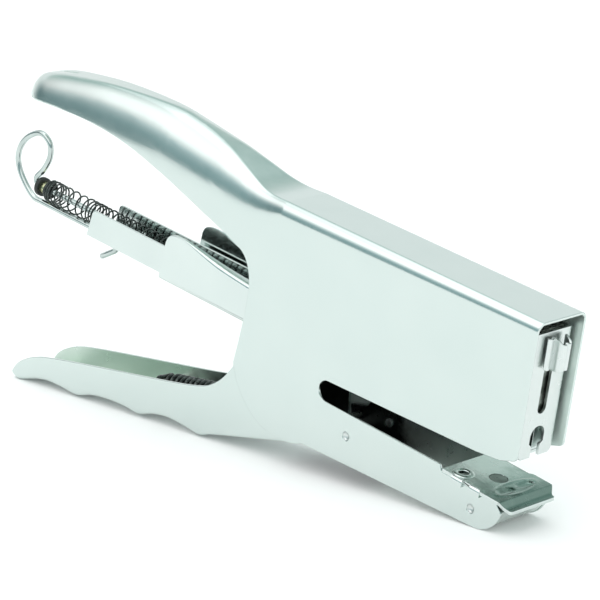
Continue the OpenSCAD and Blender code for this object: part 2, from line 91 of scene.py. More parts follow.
# ---------------------------------------------------------------- curves
def smooth(points, steps):
    """Catmull-Rom curve through points of any dimension."""
    pts = [np.array(p, float) for p in points]
    out = []
    for i in range(len(pts) - 1):
        a, b, c, d = pts[max(i - 1, 0)], pts[i], pts[i + 1], pts[min(i + 2, len(pts) - 1)]
        for k in range(steps):
            t = k / steps
            out.append(0.5 * (2 * b + (c - a) * t + (2 * a - 5 * b + 4 * c - d) * t ** 2
                              + (3 * b - a - 3 * c + d) * t ** 3))
    out.append(pts[-1])
    return [tuple(p) for p in out]


def arc(cx, cy, r, start, end, steps):
    """Points on an arc, with its angles in degrees."""
    angles = [math.radians(start + (end - start) * i / steps) for i in range(steps + 1)]
    return [(cx + r * math.cos(a), cy + r * math.sin(a)) for a in angles]


def circle(sides):
    """Angles once round, in radians."""
    return [2 * math.pi * k / sides for k in range(sides)]


def along(x, line):
    """Value at x of a line given as (x, value) points."""
    xs, values = zip(*line)
    return float(np.interp(x, xs, values))


# ---------------------------------------------------------------- mesh building
END_ANGLES, END_LENGTH = (30, 55, 80), 0.6  # a wire's rounded ends: their rings, and how pointed they are


def mesh_object(name, verts, faces):
    mesh = bpy.data.meshes.new(name)
    mesh.from_pydata([tuple(v) for v in verts], [], faces)
    bm = bmesh.new()
    bm.from_mesh(mesh)
    bmesh.ops.recalc_face_normals(bm, faces=bm.faces)
    bm.to_mesh(mesh)
    bm.free()
    obj = bpy.data.objects.new(name, mesh)
    bpy.context.scene.collection.objects.link(obj)
    return obj


def loft(name, rings, caps=True, closed=False):
    """Quads between equal rings; closed joins the last ring to the first."""
    m, n = len(rings[0]), len(rings)
    verts = [p for ring in rings for p in ring]
    faces = []
    for i in range(n if closed else n - 1):
        j = (i + 1) % n
        faces += [(i * m + k, i * m + (k + 1) % m, j * m + (k + 1) % m, j * m + k) for k in range(m)]
    if caps and not closed:
        faces += [tuple(range(m - 1, -1, -1)), tuple((n - 1) * m + k for k in range(m))]
    return mesh_object(name, verts, faces)


def prism(name, outline, y0, y1):
    """Side-view outline (x, z) carried from y0 to y1."""
    return loft(name, [[(x, y, z) for x, z in outline] for y in (y0, y1)])


def cylinder(name, centre, axis, radius, length, sides=48):
    axis = Vector(axis).normalized()
    a = axis.orthogonal().normalized()
    b = axis.cross(a)
    c = Vector(centre)
    ring = [a * math.cos(t) + b * math.sin(t) for t in circle(sides)]
    return loft(name, [[c + axis * length * s + p * radius for p in ring] for s in (-0.5, 0.5)])


def combine(target, tool, operation="DIFFERENCE"):
    """Applies a Boolean with the tool, which is used up."""
    mod = target.modifiers.new("cut", "BOOLEAN")
    mod.operation, mod.object, mod.solver = operation, tool, "EXACT"
    graph = bpy.context.evaluated_depsgraph_get()
    result = bpy.data.meshes.new_from_object(target.evaluated_get(graph))
    target.modifiers.clear()
    old = target.data
    target.data = result
    bpy.data.meshes.remove(old)
    bpy.data.objects.remove(tool)
    return target


def cut_across(target, outline):
    """Cuts a side-view outline right through."""
    return combine(target, prism("cut", outline, -CUT_HW, CUT_HW))


def drill_across(target, x, z, radius, sides=48):
    return combine(target, cylinder("cut", (x, 0, z), (0, 1, 0), radius, CUT_LENGTH, sides))


def clean(obj, merge=0.02, flat=0.4):
    """Welds near points and dissolves the seams inside flat areas."""
    bm = bmesh.new()
    bm.from_mesh(obj.data)
    bmesh.ops.remove_doubles(bm, verts=bm.verts, dist=merge)
    bmesh.ops.dissolve_degenerate(bm, edges=bm.edges, dist=merge)
    bmesh.ops.dissolve_limit(bm, angle_limit=math.radians(flat), verts=bm.verts, edges=bm.edges)
    bmesh.ops.recalc_face_normals(bm, faces=bm.faces)
    bm.to_mesh(obj.data)
    bm.free()
    return obj


def sweep(name, path, radius, sides):
    """Round wire along a path, without twist and with rounded ends."""
    pts = [Vector(p) for p in path]
    radii = [radius] * len(pts)
    dirs = [(pts[min(i + 1, len(pts) - 1)] - pts[max(i - 1, 0)]).normalized() for i in range(len(pts))]
    first, last = pts[0].copy(), pts[-1].copy()
    for a in [math.radians(degrees) for degrees in END_ANGLES]:
        pts.insert(0, first - dirs[0] * radius * math.sin(a) * END_LENGTH)
        radii.insert(0, radius * math.cos(a))
        pts.append(last + dirs[-1] * radius * math.sin(a) * END_LENGTH)
        radii.append(radius * math.cos(a))
    dirs = [dirs[0]] * len(END_ANGLES) + dirs + [dirs[-1]] * len(END_ANGLES)
    side = Vector((0, 1, 0))
    rings = []
    for p, d, r in zip(pts, dirs, radii):
        side = (side - d * side.dot(d)).normalized()
        other = d.cross(side)
        rings.append([p + side * r * math.cos(t) + other * r * math.sin(t) for t in circle(sides)])
    return loft(name, rings)


def crown_section(w, z, r, deep, open_z, way, steps):
    """Folded sheet's section: straight sides, and a crown with edges r wide and deep * r high.

    The crown is at height z and the open side at open_z; way is 1 if the crown is up and -1 if it is down.
    """
    quarter = [math.radians(90 * i / steps) for i in range(steps + 1)]
    return ([(-w, open_z)]
            + [(-w + r - r * math.cos(a), z - way * deep * r * (1 - math.sin(a))) for a in quarter]
            + [(w - r + r * math.sin(a), z - way * deep * r * (1 - math.cos(a))) for a in quarter]
            + [(w, open_z)])


# ---------------------------------------------------------------- materials
def node_material(name):
    """New material with a Principled shader: the material, its nodes and the shader."""
    mat = bpy.data.materials.new(name)
    mat.use_nodes = True
    tree = mat.node_tree
    tree.nodes.clear()
    out = tree.nodes.new("ShaderNodeOutputMaterial")
    bsdf = tree.nodes.new("ShaderNodeBsdfPrincipled")
    tree.links.new(bsdf.outputs["BSDF"], out.inputs["Surface"])
    return mat, tree, bsdf


def noise(tree, scale, detail=3.0, stretch=(1, 1, 1), roughness=0.5):
    coord = tree.nodes.new("ShaderNodeTexCoord")
    place = tree.nodes.new("ShaderNodeMapping")
    place.inputs["Scale"].default_value = stretch
    tex = tree.nodes.new("ShaderNodeTexNoise")
    tex.inputs["Scale"].default_value = scale
    tex.inputs["Detail"].default_value = detail
    tex.inputs["Roughness"].default_value = roughness
    tree.links.new(coord.outputs["Object"], place.inputs["Vector"])
    tree.links.new(place.outputs["Vector"], tex.inputs["Vector"])
    return tex.outputs["Fac"]


def ramp(tree, fac, stops):
    node = tree.nodes.new("ShaderNodeValToRGB")
    while len(node.color_ramp.elements) < len(stops):
        node.color_ramp.elements.new(0.5)
    for element, (at, colour) in zip(node.color_ramp.elements, stops):
        element.position = at
        element.color = (*colour, 1)
    tree.links.new(fac, node.inputs["Fac"])
    return node.outputs["Color"]


def map_range(tree, value, low, high, from_low=0.3, from_high=0.7):
    node = tree.nodes.new("ShaderNodeMapRange")
    node.inputs["From Min"].default_value = from_low
    node.inputs["From Max"].default_value = from_high
    node.inputs["To Min"].default_value = low
    node.inputs["To Max"].default_value = high
    tree.links.new(value, node.inputs["Value"])
    return node.outputs["Result"]


def bump(tree, height, strength, distance, after=None):
    node = tree.nodes.new("ShaderNodeBump")
    node.inputs["Strength"].default_value = strength
    node.inputs["Distance"].default_value = distance
    tree.links.new(height, node.inputs["Height"])
    if after is not None:
        tree.links.new(after, node.inputs["Normal"])
    return node.outputs["Normal"]


def plated(name, dark, light, rough, spot=60, grain=900, stretch=(0.06, 1, 1), wave=0.10, brush=0.04):
    """Plated or bare metal: slow colour drift, uneven polish, fine drawn lines and slightly wavy sheet."""
    mat, tree, bsdf = node_material(name)
    bsdf.inputs["Metallic"].default_value = 1.0
    drift = noise(tree, spot, 4)
    tree.links.new(ramp(tree, drift, [(0.3, dark), (0.7, light)]), bsdf.inputs["Base Color"])
    lines = noise(tree, grain, 2, stretch, 0.6)
    mix = tree.nodes.new("ShaderNodeMath")
    mix.operation = "MULTIPLY_ADD"
    mix.inputs[1].default_value = 0.35
    tree.links.new(lines, mix.inputs[0])
    tree.links.new(noise(tree, spot * 4, 5), mix.inputs[2])
    tree.links.new(map_range(tree, mix.outputs[0], rough[0], rough[1], 0.4, 0.95), bsdf.inputs["Roughness"])
    first = bump(tree, noise(tree, spot * 0.8, 2), wave, 0.0006)
    tree.links.new(bump(tree, lines, brush, 0.0001, first), bsdf.inputs["Normal"])
    return mat


def mottled(name, dark, light, rough, spot=220, contrast=(0.35, 0.65), depth=0.3):
    """Dull inner steel: blotches of oil and dark scale over grey metal, with a slightly rough skin."""
    mat, tree, bsdf = node_material(name)
    bsdf.inputs["Metallic"].default_value = 0.85
    blot = noise(tree, spot, 6, roughness=0.62)
    tree.links.new(ramp(tree, blot, [(contrast[0], dark), (contrast[1], light)]), bsdf.inputs["Base Color"])
    tree.links.new(map_range(tree, blot, rough[1], rough[0]), bsdf.inputs["Roughness"])
    tree.links.new(bump(tree, noise(tree, spot * 5, 4), depth, 0.0002), bsdf.inputs["Normal"])
    return mat


def graded(name, dark_x, light_x, stops, spot, rough, metallic=0.85):
    """Steel with painted shade and reflection: its colour runs from dark to light along X, with random
    blotches.

    The colour goes from the first of the stops at dark_x to the last at light_x, in metres.
    """
    mat, tree, bsdf = node_material(name)
    bsdf.inputs["Metallic"].default_value = metallic
    coord = tree.nodes.new("ShaderNodeTexCoord")
    split = tree.nodes.new("ShaderNodeSeparateXYZ")
    tree.links.new(coord.outputs["Object"], split.inputs[0])
    blend = tree.nodes.new("ShaderNodeMath")
    blend.operation = "MULTIPLY_ADD"
    blend.inputs[1].default_value = 0.7
    tree.links.new(noise(tree, spot, 5, roughness=0.6), blend.inputs[0])
    tree.links.new(map_range(tree, split.outputs["X"], 0.0, 1.0, dark_x, light_x), blend.inputs[2])
    tree.links.new(ramp(tree, blend.outputs[0], stops), bsdf.inputs["Base Color"])
    tree.links.new(map_range(tree, noise(tree, spot * 2, 3), rough[0], rough[1]), bsdf.inputs["Roughness"])
    tree.links.new(bump(tree, noise(tree, spot * 5, 4), 0.15, 0.0002), bsdf.inputs["Normal"])
    return mat


def matt(name, dark, light, rough, grain=1500):
    """Rubber or blackened steel with a fine grain."""
    mat, tree, bsdf = node_material(name)
    fleck = noise(tree, grain, 4)
    tree.links.new(ramp(tree, fleck, [(0.3, dark), (0.7, light)]), bsdf.inputs["Base Color"])
    tree.links.new(map_range(tree, fleck, rough[0], rough[1]), bsdf.inputs["Roughness"])
    tree.links.new(bump(tree, fleck, 0.3, 0.0001), bsdf.inputs["Normal"])
    return mat


# Painted shade, highlight and reflection along a piece, from dark to light, as (place, colour) stops
LEVER_PAINTED_SHADE_AND_HIGHLIGHT = [(0.35, (0.02, 0.025, 0.022)), (0.70, (0.22, 0.27, 0.24)), (1.0, (0.62, 0.72, 0.65))]
ANVIL_PAINTED_REFLECTION = [(0.35, (0.16, 0.24, 0.21)), (0.75, (0.30, 0.41, 0.365)), (1.0, (0.52, 0.62, 0.575))]
THROAT_PAINTED_SHADE = [(0.35, (0.006, 0.008, 0.007)), (0.70, (0.03, 0.037, 0.034)), (1.0, (0.62, 0.68, 0.65))]

MAT = {
    "shell": plated("shell_chrome", (0.63, 0.702, 0.681), (0.655, 0.722, 0.70), (0.17, 0.22),
                    wave=0.02, brush=0.02),
    "bright": plated("bright_chrome", (0.64, 0.70, 0.685), (0.68, 0.74, 0.72), (0.10, 0.18), wave=0.05),
    "satin": plated("satin_steel", (0.66, 0.70, 0.685), (0.70, 0.745, 0.73), (0.26, 0.36), wave=0.05),
    "shell_in": mottled("shell_inside", (0.74, 0.82, 0.78), (0.82, 0.90, 0.86), (0.34, 0.46), spot=90,
                        depth=0.08),
    # Lever's inside: painted shade, near black towards the pivot under the shell, and a painted highlight
    # towards the handle's tip
    "lever_in": graded("lever_inside", -0.010, -0.052, LEVER_PAINTED_SHADE_AND_HIGHLIGHT, 75, (0.26, 0.4)),
    "wire": plated("wire_chrome", (0.44, 0.50, 0.49), (0.60, 0.66, 0.64), (0.10, 0.18), spot=150, wave=0.1),
    # Anvil plate: painted reflection, darker towards its nose and lighter towards its rear
    "anvil": graded("anvil_steel", 0.0985, 0.074, ANVIL_PAINTED_REFLECTION, 130, (0.2, 0.3), 1.0),
    "rivet": plated("rivet_steel", (0.07, 0.10, 0.085), (0.17, 0.23, 0.20), (0.24, 0.36), spot=260, wave=0.2),
    "inner": mottled("inner_steel", (0.05, 0.06, 0.05), (0.46, 0.50, 0.46), (0.20, 0.38),
                     contrast=(0.4, 0.66)),
    "spring": mottled("spring_steel", (0.02, 0.026, 0.024), (0.10, 0.115, 0.11), (0.22, 0.36), spot=500),
    # Throat's inside: painted shade, near black deep in the throat and lighter towards its mouth
    "throat": graded("throat_steel", 0.034, 0.060, THROAT_PAINTED_SHADE, 130, (0.25, 0.35)),
    "rubber": matt("black_rubber", (0.012, 0.016, 0.014), (0.03, 0.036, 0.032), (0.45, 0.7)),
    "brass": plated("sleeve_brass", (0.52, 0.56, 0.33), (0.72, 0.72, 0.47), (0.2, 0.35), spot=400),
}


def faces_in(p, half_width, crown):
    """Whether a face is inside a folded sheet; crown is 1 if the fold is on top and -1 if it is below."""
    if abs(p.center.y) > half_width + 0.03 or abs(p.normal.x) > 0.75:  # outside, or a cut edge
        return False
    faces_middle = p.normal.y * p.center.y < 0 and abs(p.normal.y) > 0.3
    return faces_middle or p.normal.z * crown < -0.3


def piece(obj, place, mat, body, replaced, bevel=0.12, angle=34, merge=0.02, inner=None):
    """Finishes a new piece: clean mesh in the row frame, softened edges, material, body and CAD nodes.

    inner is (material, test): the faces for which the test is true, in millimetres, get that material.
    """
    if merge:
        clean(obj, merge)
    inside = [int(bool(inner) and inner[1](p)) for p in obj.data.polygons]
    obj.data.transform(place)
    obj.data.shade_smooth()
    if bevel:
        mod = obj.modifiers.new("soft edges", "BEVEL")
        mod.width = bevel * MM
        mod.segments = 2
        mod.limit_method = "ANGLE"
        mod.angle_limit = math.radians(angle)
        mod.use_clamp_overlap = False
        mod.miter_outer = "MITER_ARC"
        obj.modifiers.new("flat faces", "WEIGHTED_NORMAL")
    obj.data.materials.clear()
    obj.data.materials.append(MAT[mat])
    if inner:
        obj.data.materials.append(MAT[inner[0]])
        obj.data.polygons.foreach_set("material_index", inside)
    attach(obj, body)
    if replaced:
        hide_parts(*replaced)
    return obj


# ---------------------------------------------------------------- upper shell
SHELL_EDGE = smooth([(-18, 91.4), (-16, 90.2), (-13.5, 89.2), (-9, 88.5), (-1, 87.9), (17, 85.4), (33, 81.3),
                     (48, 75.2), (64, 67.4), (76, 61.3), (81.6, 57.6), (83.6, 52), (82.9, 45), (79.6, 33.5),
                     (77.1, 26)], 10)
CROWN_LINE = smooth([(-16.3, 90.9), (-15.2, 93.2), (-11.6, 95.2), (-5, 96.3), (4, 96.6), (21, 96.1),
                     (42.5, 93.6), (55, 90.4), (67.5, 85.9), (76.4, 81.7), (84.5, 77.7), (90.5, 75.7),
                     (97, head_line(97))], 10)
THROAT = (113.9, 25.2, 3.0)
ARM_NOSE = (168.4, 9.0, 9.0)
ARM_HEEL = (104.5, 8.2)
ARM_SLOPE = 7.5
ARM_STEP = (155.8, 14.4)
RIVETS = [(121.2, 14.2), (166.4, 4.9)]
RIVET_R = 1.25
HEAD_BOTTOM, HEAD_CORNER = 9, 1.6
HANG_SLIT = (-5.4, 1.2, 0.55)  # slit on top of the handle: x of both ends' centres, and their radius


def on_anvil(x, drop):
    """Side-view point at x, a drop below the anvil plate."""
    return (x, ANVIL[1] - (x - ANVIL[0]) * math.tan(ANVIL_TILT) - drop / math.cos(ANVIL_TILT))


def tip_width(x, tip, full, hw):
    """Half width of a handle whose end is rounded in plan, from its tip to where it has its full width."""
    if x >= full:
        return hw
    return max(0.5, hw * math.sqrt(max(0.0, 1 - ((full - x) / (full - tip)) ** 2)))


# Width of the crown's bend and how far it reaches down the sides, by station
CROWN_WIDTH = smooth([(-17, 6.4), (0, 6.8), (30, 8), (50, HALF_W - 0.4), (62, 8.5), (72, 6.6), (82, 4.4),
                      (92, 2.8), (112, HEAD_EDGE)], 6)
CROWN_DROP = smooth([(-17, 8), (0, 11.5), (18, 15), (39, 16.6), (52, 16), (63, 14.6), (71, 13.2), (79, 11),
                     (88, 7.4), (98, 4.2), (112, HEAD_EDGE)], 6)


def shell_form(t):
    """Solid under the folded sheet's surface t inside the outer one."""
    rings = []
    for px, pz in CROWN_LINE + [(210, head_line(210))]:
        x = px + (t * min(1, -px / 10) if px < 0 else 0)
        w = max(tip_width(px, -16.5, -4, HALF_W) - t, 0.4 + 0.02 * (px + 21))
        full = along(px, CROWN_WIDTH)
        r = min(max(full - t, 0.3), w - 0.05)
        deep = along(px, CROWN_DROP) / full
        rings.append([(x, y, z) for y, z in crown_section(w, pz - t, r, deep, -6 - t, 1, 16)])
    return loft("form", rings)


def shell_outline():
    """Side view of the shell, from above the head's front round the jaw, the seam and the handle."""
    pts = [head_point(HEAD_REACH, 70), head_point(HEAD_REACH, HEAD_BOTTOM)]
    pts += arc(*head_point(HEAD_REACH - HEAD_CORNER, HEAD_BOTTOM), HEAD_CORNER, 0, -80, 6)
    pts += [(176.3, 20.3), (168, 20.8), (THROAT[0] + 0.42, THROAT[1] + 2.97)]
    pts += arc(*THROAT, 95, 257, 18)
    pts += [ARM_STEP, on_anvil(ARM_STEP[0] + 0.3, 1.0), on_anvil(175.1, 1.0)]
    pts += arc(*ARM_NOSE, -20, -90 - ARM_SLOPE, 16)
    pts += [ARM_HEEL]
    pts += arc(PIVOT[0], PIVOT[1] + 0.3, SEAM_R, 288, 190, 32)
    pts += SHELL_EDGE[::-1]
    return pts + [(-40, 91.4), (-40, 130)]


def build_shell():
    """Upper handle, head and jaw sides, folded from one sheet."""
    shell = combine(shell_form(0), prism("cut", shell_outline(), -CUT_HW, CUT_HW), "INTERSECT")
    combine(shell, shell_form(SHEET))
    for x, z in RIVETS:
        drill_across(shell, x, z, RIVET_R, 32)
    rear, front, slit_r = HANG_SLIT
    slit = arc(rear, 0, slit_r, 90, 270, 8) + arc(front, 0, slit_r, -90, 90, 8)
    combine(shell, loft("cut", [[(x, y, z) for x, y in slit] for z in (88, 104)]))
    shell.name = "shell_body"
    return piece(shell, SIDE, "shell", "body", ["upper_shell"], bevel=0.22,
                 inner=("shell_in", lambda p: faces_in(p, HALF_W - SHEET, 1)))


# ---------------------------------------------------------------- lever handle
LEVER_RIM = smooth([(-23.4, 0.6), (-22.6, 2.6), (-19, 5.9), (-12, 8.7), (-2, 10.2), (22, 12.1), (50, 14.1),
                    (61.5, 15.4), (67, 17), (72, 20.2), (77, 25.5), (83, 34), (90, 46), (101, 57)], 8)
LEVER_FLOOR = smooth([(-23.4, 2.2), (-22.2, 0.6), (-19.6, 0), (-12, 1.6), (-6, 2.1), (1, 1.4), (7, 0.6),
                      (14, 2), (22, 2.3), (29, 1.8), (35, 0.9), (41, 2.2), (48, 2.6), (55, 1.6), (61, 0.5),
                      (66, 1.6), (76, 3.3), (90, 5.5), (104, 7.7), (120, 10.2), (180, 19.6)], 8)
PIN_U, PIN_V = 74.5, 38.0
SLOT_SLOPE, SLOT_RUN, SLOT_R = 18.4, 4.3, 1.9
LEVER_EDGE = 1.2
PLATES_FROM = 96  # in front of this the lever is two plates without a floor


def lever_form(t):
    """Solid under the trough's surface t inside the outer one."""
    rings = []
    for px, pz in LEVER_FLOOR:
        w = tip_width(px, -24.4, -22.9, LEVER_HW) - t
        x = px + (t * min(1, (-17 - px) / 4) if px < -17 else 0)
        z = -12 if t > 0 and px > PLATES_FROM else pz + t
        r = LEVER_EDGE - 0.8 * t
        rings.append([(x, y, zz) for y, zz in crown_section(w, z, r, 1, 100 + t, -1, 8)])
    return loft("form", rings)


def lever_outline():
    """Side view of the lever, from its floor round the plates' noses and back along the rim."""
    pts = [(-40, -4), (104.3, -4), (104.3, 8), (105.4, 15)]
    pts += arc(PIVOT[0], PIVOT[1], 11, -45, 15, 12)
    pts += [head_point(16, 11), head_point(30, 19), head_point(60, 31.5), head_point(73, 33.4)]
    cx, cy = head_point(PIN_U, PIN_V - 0.3)
    pts += arc(cx, cy, 3.6, -100, 80, 14)
    pts += [head_point(62, 42), head_point(24, 40)]
    return pts + LEVER_RIM[::-1] + [(-40, 0.6)]


def build_lever():
    """Lower handle with its two plates, pivot bores and slot for the driver's pin."""
    lever = combine(lever_form(0), prism("cut", lever_outline(), -CUT_HW, CUT_HW), "INTERSECT")
    combine(lever, lever_form(SHEET))
    drill_across(lever, *PIVOT, BORE_R)
    du = SLOT_RUN * math.cos(math.radians(SLOT_SLOPE))
    dv = SLOT_RUN * math.sin(math.radians(SLOT_SLOPE))
    slot = arc(PIN_U, PIN_V, SLOT_R, SLOT_SLOPE - 90, SLOT_SLOPE + 90, 12)
    slot += arc(PIN_U - du, PIN_V - dv, SLOT_R, SLOT_SLOPE + 90, SLOT_SLOPE + 270, 12)
    cut_across(lever, [head_point(u, v) for u, v in slot])
    lever.name = "lever_body"
    return piece(lever, SIDE, "shell", "lever", ["lower_handle"], bevel=0.16,
                 inner=("lever_in", lambda p: faces_in(p, LEVER_HW - SHEET, -1)))


# ---------------------------------------------------------------- magazine channel
FLOOR_V, CHANNEL_HW, CHANNEL_T = 5.8, 7.5, 0.9
HUMP = smooth([(-56.1, 17.6), (-55.3, 19.6), (-53.2, 20.7), (-48.6, 20.95), (-43.6, 20.3), (-31, 18.3),
               (-18, 17.15), (-8, 17), (4, 17)], 6)
TOP_LINE = HUMP + [(66, 17), (66.6, 17), (79.2, 17)]
OPEN_REACH = 6.6  # where the flanges' edges are this far out, the top is open
FLANGE_REACH = [(-57, 6.62), (-49, OPEN_REACH), (-46, 6.45), (-40, 5.9), (-32, 5.3), (-20, 4.6), (-8, 4.3),
                (66, 4.3), (66.5, OPEN_REACH), (80, OPEN_REACH)]
EAR_R, EAR_REACH, EAR_LAP = 6.4, 13, 0.002


def channel_section(u, top):
    """Half section from the outside of the floor round to its inside, as (y, v)."""
    reach = along(u, FLANGE_REACH)
    roll = 0.3 + 0.9 * min(1, max(0, (OPEN_REACH - reach) / 1.2))
    inner_roll = max(roll - CHANNEL_T, 0.08)
    t, hw, low = CHANNEL_T, CHANNEL_HW, FLOOR_V
    outer = [(0, low)] + arc(hw - 1.1, low + 1.1, 1.1, -90, 0, 6)
    edge = min(reach, hw - roll - 0.01)
    outer += arc(hw - roll, top - roll, roll, 0, 90, 8) + [(edge, top)]
    back = [(edge, top - t)] + arc(hw - t - inner_roll, top - t - inner_roll, inner_roll, 90, 0, 6)
    back += arc(hw - t - 0.4, low + t + 0.4, 0.4, 0, -90, 4) + [(0, low + t)]
    if reach > 6.3:
        back = [(hw - t + 0.02, top - 0.02)] + [(hw - t, top - 0.05 - 0.02 * i) for i in range(7)] + back[8:]
    return outer + back


def build_channel():
    """Magazine's outer channel, with the hump at its rear and an ear at each side of the pivot."""
    rings = []
    for u, top in TOP_LINE:
        lean = 1.6 * max(0, min(1, (-38 - u) / 18.1))
        half = channel_section(u, top)
        full = half + [(-y, v) for y, v in half[-2:0:-1]]
        rings.append([(u + lean * (v - FLOOR_V) / 11.8, y, v) for y, v in full])
    channel = loft("channel", rings)
    ear_top = FLOOR_V + 1.6
    for y0, y1 in ((CHANNEL_HW - CHANNEL_T, CHANNEL_HW), (-CHANNEL_HW, CHANNEL_T - CHANNEL_HW)):
        outline = [(-EAR_REACH, ear_top), (EAR_REACH, ear_top)] + arc(0, 0, EAR_R, 10, -190, 24)
        combine(channel, prism("ear", outline, y0 + EAR_LAP, y1 - EAR_LAP), "UNION")
    drill_across(channel, 0, 0, BORE_R)
    channel.name = "magazine_outer_channel"
    return piece(channel, HEAD, "bright", "magazine", ["magazine_channel"], bevel=0.1, merge=0.005)


# ---------------------------------------------------------------- pull wire, springs
LEG_V, ROD_V, WIRE_R = 6.5, 11.3, 0.9
HOOK_BEND, HOOK_LENGTH = 2, 6
RING = smooth([(-118, LEG_V), (-121.6, LEG_V + 0.2), (-125.6, 9.3), (-129, 12.9), (-130.4, 17),
               (-129.2, 21.2), (-125.8, 25), (-120.8, 27.4), (-116.6, 25.7), (-115.8, 21.6), (-118, 16.9),
               (-120.9, 13.4), (-120.4, 11.6), (-118.6, ROD_V)], 10)


def build_wire():
    """Wire from its hook along the leg, round the ring and back along the rod."""
    hook = arc(-84.6, LEG_V - HOOK_BEND, HOOK_BEND, -56, 90, 16)
    tip = (hook[0][0] - HOOK_LENGTH * 0.829, hook[0][1] - HOOK_LENGTH * 0.559)
    middle = ((tip[0] + hook[0][0]) / 2, (tip[1] + hook[0][1]) / 2)
    leg = [(-88 - 4 * i, LEG_V) for i in range(8)]
    rod = [(-112 + 4 * i, ROD_V) for i in range(21)]
    path = [(u, 0, v) for u, v in [tip, middle] + hook + leg + RING + rod]
    return piece(sweep("pull_ring_wire", path, WIRE_R, 20), HEAD, "wire", "pull_unit", ["pull_wire"],
                 bevel=0, merge=0)


def coil(start_u, pitches, radius, per_turn, phase=0.0):
    """Helix along u whose turns have the given pitches; radius is a function of the turn number."""
    pts, u = [], start_u
    for i, pitch in enumerate(pitches):
        for k in range(per_turn):
            a = 2 * math.pi * k / per_turn + phase
            r = radius(i + k / per_turn)
            pts.append((u + pitch * k / per_turn, r * math.cos(a), r * math.sin(a)))
        u += pitch
    end_r = radius(len(pitches))
    return pts + [(u, end_r * math.cos(phase), end_r * math.sin(phase))]


def bend(obj):
    """A piece that bends between two bodies has no parent."""
    obj.parent = None
    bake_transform(obj)


FEED_START, FEED_END, FEED_R, FEED_WIRE_R = -113.9, 61.9, 3.33, 0.26
# Pitches of the turns that show behind the magazine, uneven as in the photo
SEEN_PITCHES = [0.8, 0.9, 1.3, 1.5, 2.2, 3.4, 3.7, 3.3, 1.9, 1.4, 1.2, 1.4, 1.9, 2.4]
HIDDEN_TURNS, LAST_PITCH = 56, 1.0


def build_feed_spring():
    """Loose coil on the rod; the follower squashes it in the real stapler."""
    hidden = [2.55 + 0.35 * math.sin(1.7 * i) for i in range(HIDDEN_TURNS)]
    room = FEED_END - FEED_START - sum(SEEN_PITCHES) - LAST_PITCH - 0.54
    hidden = [p * room / sum(hidden) for p in hidden]
    turns = coil(FEED_START + 0.27, SEEN_PITCHES + hidden + [LAST_PITCH],
                 lambda n: FEED_R - 0.12 * (1 + math.sin(2.1 * n)) * 0.5, 20, 1.2)
    spring = sweep("feed_spring", [(u, y, ROD_V + v) for u, y, v in turns], FEED_WIRE_R, 8)
    piece(spring, HEAD, "spring", "pull_unit", ["follower_spring"], bevel=0, merge=0)
    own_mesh(spring)
    return spring


REAR_ANCHOR, FRONT_ANCHOR = (36.5, 9.0), (109.6, 13.8)
HOOK_R, COIL_R, COIL_WIRE_R = 1.9, 3.2, 0.65
COIL_START, COIL_PITCH, COIL_TURNS = 5, 2.0, 28


def spring_hook(u, first, last):
    """End hook round a pin at u, as an arc in the side view."""
    angles = [math.radians(a) for a in range(first, last, -16)]
    return [(u + HOOK_R * math.cos(a), 0, HOOK_R * math.sin(a)) for a in angles]


def build_return_spring():
    """Coil with a hook at each end, from the lever's pin to the body's, bent where the two bodies part."""
    span = math.dist(REAR_ANCHOR, FRONT_ANCHOR)
    lift = math.atan2(FRONT_ANCHOR[1] - REAR_ANCHOR[1], FRONT_ANCHOR[0] - REAR_ANCHOR[0])
    rear_hook, front_hook = spring_hook(0, -100, -261), spring_hook(span, 80, -81)
    turns = coil(COIL_START, [COIL_PITCH] * COIL_TURNS, lambda n: COIL_R, 20, math.pi / 2)
    lead_in = smooth(rear_hook[-2:] + [(2.2, 0, 2.4), (3.8, 0.4, 2.95), turns[0]], 4)[4:-1]
    lead_out = smooth([turns[-1], (62.6, -0.4, 2.9), (63.9, 0, 2.4), front_hook[0]], 4)[1:-1]
    spring = sweep("return_coil", rear_hook + lead_in + turns + lead_out + front_hook, COIL_WIRE_R, 10)
    place = Matrix.Translation((REAR_ANCHOR[0], 0, REAR_ANCHOR[1])) @ Matrix.Rotation(-lift, 4, "Y")
    piece(spring, SIDE @ place, "spring", "lever", ["return_spring"], bevel=0, merge=0)
    bend(spring)


TORSION_R, TORSION_PITCH, TORSION_TURNS, TORSION_WIRE_R = 4.35, 1.35, 4, 0.5
TORSION_STEPS, TORSION_OVER = 24, 11  # points a turn, and how many more the last turn has


def build_torsion_spring():
    """Coil round the pivot, with one leg forward in the magazine and one forward in the jaw."""
    turns = []
    for i in range(TORSION_TURNS * TORSION_STEPS + TORSION_OVER):
        a = math.radians(90 + 360 / TORSION_STEPS * i)
        y = TORSION_PITCH * (TORSION_TURNS / 2 - i / TORSION_STEPS)
        turns.append((TORSION_R * math.cos(a), y, TORSION_R * math.sin(a)))
    end_y = turns[-1][1]
    upper_leg = [(19, 3.0, 5.1), (14, 2.95, 4.95), (9, 2.9, 4.85), (4.5, 2.8, 4.65)]
    lower_leg = [(3, end_y - 0.1, -5.2), (8, end_y - 0.2, -6.9), (16, end_y - 0.25, -11),
                 (24, end_y - 0.3, -15.4)]
    spring = sweep("torsion_coil", upper_leg + turns + lower_leg, TORSION_WIRE_R, 10)
    piece(spring, HEAD, "spring", "body", ["magazine_spring"], bevel=0, merge=0)
    bend(spring)


